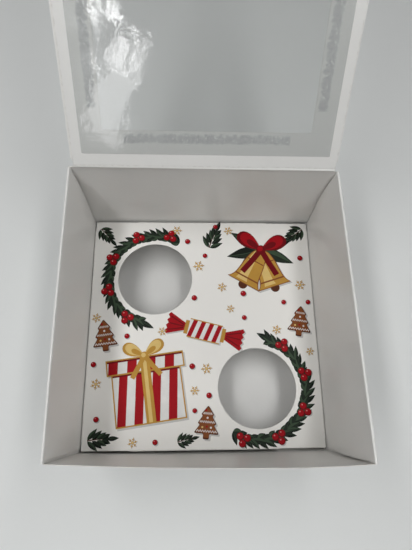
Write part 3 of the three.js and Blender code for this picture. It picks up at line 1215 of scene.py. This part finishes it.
garland = {"radius": 41, "pitch": 7.5, "leaf": (15, 5.4), "small": (11.5, 4.2), "seed": 7, "wobble": 0.6,
           "leans": (-38, 34, -4), "stretch": (0.85, 1.1), "sway": 7, "berry": 3.0, "berryPitch": 39,
           "berryInset": 14, "three": ((-4.2, 0.4), (4.0, 0.0), (0.2, 5.2))}  # degrees on, distance out


# Leaves set in pairs along an arc round a hole, with berries in threes
def inkGarland(middle, start, stop):
    draw = random.Random(garland["seed"] + round(middle[0]))
    wobble, sway, inset = garland["wobble"], garland["sway"], garland["berryInset"]
    for k, angle in enumerate(evenRows(start, stop, garland["pitch"])):
        x, y = onCircle(middle, garland["radius"] + draw.uniform(-wobble, wobble), angle)
        for lean in garland["leans"]:
            length, width = garland["leaf"] if lean > -30 else garland["small"]
            length *= draw.uniform(*garland["stretch"])
            if lean > 0:
                length *= 0.5  # leaves on the hole's side are short
            turn = angle + 90 + lean + draw.uniform(-sway, sway)
            inkLeaf((x, y, turn, 1), length, width, (k + (lean > 0)) % 2 == 0)
    for angle in evenRows(start + inset, stop - inset, garland["berryPitch"]):
        for on, out in garland["three"]:
            inkBerry(*onCircle(middle, garland["radius"] + out, angle + on), garland["berry"])


def inkSprig(spot, count=4):
    turn, size = spot[2:]
    ink("brownDark", stroke([(0, 0), (7, 0.5), (15, 0)], 0.8), spot, 2)
    for i in range(count):
        for side in (-1, 1):
            base = placed([(3.5 * i, 0.4 * side)], spot)[0]
            inkLeaf((*base, turn + side * (46 - 7 * i), size), 10.5 - 1.2 * i, 3.6, (i + side) % 2 == 0)
    inkLeaf((*placed([(14, 0)], spot)[0], turn, size), 9, 3.4, True)


ribbonBow = {"loop": (15, 10.5), "steps": 20, "tail": 3.0}


def bowLoop(scale, flat):
    length, width = ribbonBow["loop"]
    points = []
    for i in range(ribbonBow["steps"]):
        angle = 2 * math.pi * i / ribbonBow["steps"]
        reach = (1 - math.cos(angle)) / 2
        points.append((length * scale * reach, width * flat / 2 * math.sin(angle) * reach ** 0.5))
    return points


def inkBow(spot, dark, light, level):
    x, y, turn, size = spot
    for side in (-1, 1):
        tilt = turn + 90 - side * 58
        ink(dark, stroke([(0, 0), (side * 4, -6), (side * 9, -13)], ribbonBow["tail"]), spot, level)
        ink(dark, bowLoop(1, 1), (x, y, tilt, size), level + 1)
        ink(light, bowLoop(0.9, 0.78), (x, y, tilt + 3 * side, size), level + 2)
        ink(dark, bowLoop(0.6, 0.4), (x, y, tilt, size), level + 3)
    ink(dark, disc(2.6), spot, level + 4)
    ink(light, disc(1.5, 12, (-0.5, 0.5)), spot, level + 5)


gift = {"half": 23, "height": 34, "lidHalf": 26, "lidHeight": 9.5, "stripes": 8, "slant": 0.14, "ribbon": 6.5,
        "line": 0.9, "gap": 0.5}


def inkGift(spot):
    half, capHalf, line, gap = gift["half"], gift["lidHalf"], gift["line"], gift["gap"]
    rim = gift["height"] / 2
    top = rim + gift["lidHeight"]
    softShade(block(-half - line, -rim - line, half + line, rim), spot, 1.5)
    softShade(block(-capHalf - line, rim, capHalf + line, top + line), spot, 1.5)
    for wide, low, high in ((half, -rim, rim - gap), (capHalf, rim + gap, top)):
        ink("gold", block(-wide - line, low - line, wide + line, high + line), spot, 2)
        ink("white", block(-wide, low, wide, high), spot, 3)
        pitch = 2 * wide / gift["stripes"]
        slant = gift["slant"] * (high - low)
        for i in range(0, gift["stripes"], 2):
            left = -wide + i * pitch
            right = left + pitch
            stripe = [(left, low), (right, low), (min(right + slant, wide), high), (left + slant, high)]
            ink("red", stripe, spot, 4)
        ink("redDark", block(-wide, high - 1.2, wide, high), spot, 5)
    ribbon = gift["ribbon"] / 2
    ink("gold", block(-ribbon, -rim, ribbon, top), spot, 6)
    ink("goldLight", block(-ribbon * 0.45, -rim, ribbon * 0.3, top), spot, 7)
    knot = placed([(0, top + 1)], spot)[0]
    inkBow((*knot, spot[2], spot[3] * 1.1), "gold", "goldLight", 8)


bellShape = {"height": 27, "steps": 14}


def bellLoop():
    height = bellShape["height"]
    side = []
    for i in range(bellShape["steps"] + 1):
        share = i / bellShape["steps"]
        wide = height * (0.12 + 0.30 * share ** 0.6 - 0.12 * share ** 2 + 0.16 * share ** 8)
        side.append((wide, -height * share))
    return side + [(-u, v) for u, v in side[::-1]]


def inkBell(spot, level):
    height = bellShape["height"]
    softShade(bellLoop(), spot, 1.3)
    ink("brownDark", disc(3.2, 16, (0, -height * 1.03)), spot, level)
    ink("brown", bellLoop(), spot, level + 1)
    ink("gold", [(u * 0.92, v * 0.97 - 0.3) for u, v in bellLoop()], spot, level + 2)
    ink("goldLight", [(u * 0.34 - 2.6, v * 0.88 - 1.4) for u, v in bellLoop()], spot, level + 3)
    for low, high, half in ((0.80, 0.84, 0.33), (0.30, 0.33, 0.23)):
        ink("brown", block(-half * height, -height * high, half * height, -height * low), spot, level + 4)


def inkBells(spot):
    x, y, turn, size = spot
    for lean in (-52, -18, 26, 198, 232, 154):
        inkLeaf((x, y, turn + lean, size), 25, 8.5, lean in (-52, 26, 198))
    inkBell((x, y - 2, turn + 24, size), 6)
    inkBell((x, y - 2, turn - 24, size), 11)
    inkBow((x, y, turn, size * 1.35), "redDark", "red", 16)


# A biscuit cut as a fir tree, iced in white
def inkBiscuit(spot):
    half = [(0, 15), (6.2, 6.6), (3.8, 6.6), (8.6, -0.8), (5.8, -0.8), (11, -8.6), (2.6, -8.6), (2.6, -13)]
    tree = roundedCorners(half + [(-u, v) for u, v in half[:0:-1]], 1.1, 3)
    softShade(tree, spot, 1.3)
    ink("brownDark", tree, spot, 2)
    ink("brown", [(u * 0.9, v * 0.92 + 0.2) for u, v in tree], spot, 3)
    for low, wide in ((-6.4, 8.6), (1.2, 6.2), (8.2, 3.6)):
        wave = [(wide * (i / 8 - 1), low + (0.75 if i % 2 else -0.75)) for i in range(17)]
        ink("white", stroke(wave, 0.9), spot, 4)
    dots = ((0, -2.6, "red"), (-3.8, -3.4, "goldLight"), (3.6, -3.2, "white"), (0, 4.6, "white"),
            (-1.6, 10.8, "red"))
    for u, v, colour in dots:
        ink(colour, disc(0.9, 10, (u, v)), spot, 5)


cracker = {"half": 13, "radius": 7.5, "fan": 13, "neck": 3, "teeth": 8, "stripes": 4}


def inkCracker(spot):
    half, radius, count = cracker["half"], cracker["radius"], cracker["teeth"]
    neck = half + cracker["neck"]
    tip = neck + cracker["fan"]
    band = half + cracker["neck"] / 2
    fan = [(neck, -radius * 0.4), (neck, radius * 0.4)]
    fan += [(tip + (1.6 if i % 2 else 0), radius * (1.15 - 2.3 * i / count)) for i in range(count + 1)]
    for side in (-1, 1):
        ends = [(side * u, v) for u, v in fan]
        softShade(ends, spot, 1.1)
        ink("red", ends, spot, 2)
        for lean in (-0.55, 0, 0.55):
            fold = [(side * (neck + 1), radius * 0.3 * lean), (side * (tip - 1), radius * 1.3 * lean)]
            ink("redDark", stroke(fold, 0.9), spot, 3)
        ink("gold", block(side * band - 1.5, -radius * 0.72, side * band + 1.5, radius * 0.72), spot, 5)
    barrel = block(-half, -radius, half, radius)
    softShade(barrel, spot, 1.1)
    ink("white", barrel, spot, 3)
    for i in range(cracker["stripes"]):
        left = -half + i * 2 * half / cracker["stripes"]
        stripe = [(left, -radius), (left + 3.4, -radius), (left + 6.2, radius), (left + 2.8, radius)]
        ink("red", stripe, spot, 4)
    ink("gold", block(-half, radius - 0.8, half, radius), spot, 5)
    ink("gold", block(-half, -radius, half, -radius + 0.8), spot, 5)


biscuitSpots = ((-85, -8, 8, 1.0), (85, 4, -9, 1.0), (2, -80, -6, 0.95))
sprigSpots = ((6, 74, 68, 1.25), (-94, -92, 4, 1.1), (94, 93, 214, 1.1), (-22, -94, 12, 0.8),
              (-94, 92, -48, 1.0))
snowflakes = (  # x, y, radius, turn
    (-4, 56, 5.4, 8), (17, 36, 4.6, 20), (-24, 91, 5.0, 0), (24, 91, 4.6, 12), (88, 38, 5.2, 5),
    (64, -3, 4.6, 17), (-36, -4, 4.2, 10), (-90, -48, 4.8, 24), (24, 16, 4.0, 14), (2, -36, 5.0, 6),
    (-58, -94, 4.2, 18), (-93, 8, 4.4, 21), (92, -22, 4.0, 9), (-8, -54, 4.2, 3),
)
berries = (  # x, y, radius
    (2, 66, 2.2), (-14, 80, 2.5), (36, 30, 2.6), (72, 22, 2.2), (-8, 26, 2.5), (36, 8, 2.2), (-93, -32, 2.3),
    (-10, -34, 2.5), (-88, -76, 2.3), (-40, -94, 2.2), (4, -58, 2.4), (90, 64, 2.5), (-66, -8, 2.3),
    (-8, -70, 2.0), (12, 95, 2.2), (94, 22, 2.2),
)


def inkDesign():
    backHole, frontHole = holes["places"]
    inkGarland(backHole, 58, 250)
    inkGarland(frontHole, -122, 70)
    inkGift((-46, -58, 8, 1.22))
    inkBells((54, 72, -6, 1.3))
    inkCracker((1, -4, -14, 1.12))
    for spot in biscuitSpots:
        inkBiscuit(spot)
    for spot in sprigSpots:
        inkSprig(spot)
    for flake in snowflakes:
        inkSnowflake(*flake)
    for berry in berries:
        inkBerry(*berry)


def buildPrint():
    inkDesign()
    for colour, shapes in inkShapes.items():
        points = []
        faces = []
        for loop, height in shapes:
            first = len(points)
            count = len(loop)
            points += [(u, v, deckTop - inkLayer["sunk"]) for u, v in loop]
            points += [(u, v, deckTop + height) for u, v in loop]
            low = list(range(first, first + count))
            high = [i + count for i in low]
            faces += [tuple(low[::-1]), tuple(high)]
            faces += [(low[i - 1], low[i], high[i], high[i - 1]) for i in range(count)]
        skin = [makeInk(colour, inkColours[colour])]
        layer = addMesh("print_" + colour, points, faces, skin, [0] * len(faces), {})
        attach(layer, "insert")


buildPrint()
print("print laid on the deck")


# Stage and light

stageLook = {"colour": (0.775, 0.79, 0.78), "mottle": 0.02, "gloss": 0.62, "size": 6000,
             "backdrop": (0.52, 0.532, 0.527), "fade": (480, 1150)}  # the floor fades into it this far out


# What the eye, a mirror or a clear sheet sees of the room, which lights nothing
def seenRays(tree):
    rays = addNode(tree, "ShaderNodeLightPath").outputs
    clear = calculate(tree, "MAXIMUM", rays["Is Glossy Ray"], rays["Is Transmission Ray"])
    return calculate(tree, "MAXIMUM", rays["Is Camera Ray"], clear)


def makeFloorFinish():
    material, tree, shader = newMaterial("pale floor")
    grain = grainOf(tree, stageLook)
    feed(tree, shader, {"Base Color": grain["Colour"], "Roughness": grain["Roughness"]})
    distance = addNode(tree, "ShaderNodeVectorMath", operation="LENGTH")
    feed(tree, distance, {0: placeOf(tree)})
    start, stop = stageLook["fade"]
    far = spread(tree, distance.outputs["Value"], start * toMetres, stop * toMetres)
    backdrop = addNode(tree, "ShaderNodeEmission")
    feed(tree, backdrop, {"Color": stageLook["backdrop"]})
    mixShaders(tree, calculate(tree, "MULTIPLY", far, seenRays(tree)), shader, backdrop)
    return material


def addStage():
    half = stageLook["size"] / 2
    corners = [(x, y, 0) for x, y in block(-half, -half, half, half)]
    stage = addMesh("floor_stage", corners, [(0, 1, 2, 3)], [makeFloorFinish()], [0], {})


lamps = {
    "leftTube": {"place": (-365, -95, 900), "aim": (-365, -95, 0), "size": (130, 880), "power": 3.85},
    "rightTube": {"place": (245, -95, 900), "aim": (245, -95, 0), "size": (130, 880), "power": 2.62},
    "leftPanel": {"place": (-1000, -50, 650), "aim": (0, 0, 60), "size": (700, 500), "power": 0.3},
    "rightPanel": {"place": (1000, -50, 650), "aim": (0, 0, 60), "size": (700, 500), "power": 1.7},
    "backPanel": {"place": (0, 1100, 800), "aim": (0, 0, 60), "size": (700, 500), "power": 0.4},
    "windowGlow": {"place": (-288, -1301, 1046), "aim": (-59, 139, 172), "size": (135, 420), "power": 0.49,
                   "roll": -20},
    "windowTop": {"place": (-274, -1234, 1144), "aim": (-58, 151, 187), "size": (122, 148), "power": 0.21,
                  "roll": -20},
    "smallGlint": {"place": (-318, -1143, 1275), "aim": (-61, 166, 203), "size": (28, 125), "power": 0.14,
                   "roll": 40},
}


def addLamps():
    for name, lamp in lamps.items():
        data = bpy.data.lights.new(name, "AREA")
        data.shape = "RECTANGLE"
        data.size, data.size_y = (side * toMetres for side in lamp["size"])
        data.energy = lamp["power"]
        light = bpy.data.objects.new(name, data)
        light.location = Vector(lamp["place"]) * toMetres
        aim = Vector(lamp["aim"]) - Vector(lamp["place"])
        roll = Quaternion((0, 0, 1), math.radians(lamp.get("roll", 0)))
        light.rotation_euler = (aim.to_track_quat("-Z", "Y") @ roll).to_euler()
        bpy.context.scene.collection.objects.link(light)


skyLight = {"colour": (0.96, 0.98, 1.0), "strength": 0.09}


def addSky():
    world = bpy.data.worlds.new("soft sky")
    bpy.context.scene.world = world
    world.use_nodes = True
    tree = world.node_tree
    sky = next(node for node in tree.nodes if node.type == "BACKGROUND")
    feed(tree, sky, {"Color": skyLight["colour"], "Strength": skyLight["strength"]})
    backdrop = addNode(tree, "ShaderNodeBackground")
    feed(tree, backdrop, {"Color": stageLook["backdrop"]})
    mixShaders(tree, seenRays(tree), sky, backdrop)


addStage()
addLamps()
addSky()
print("stage and lamps placed")
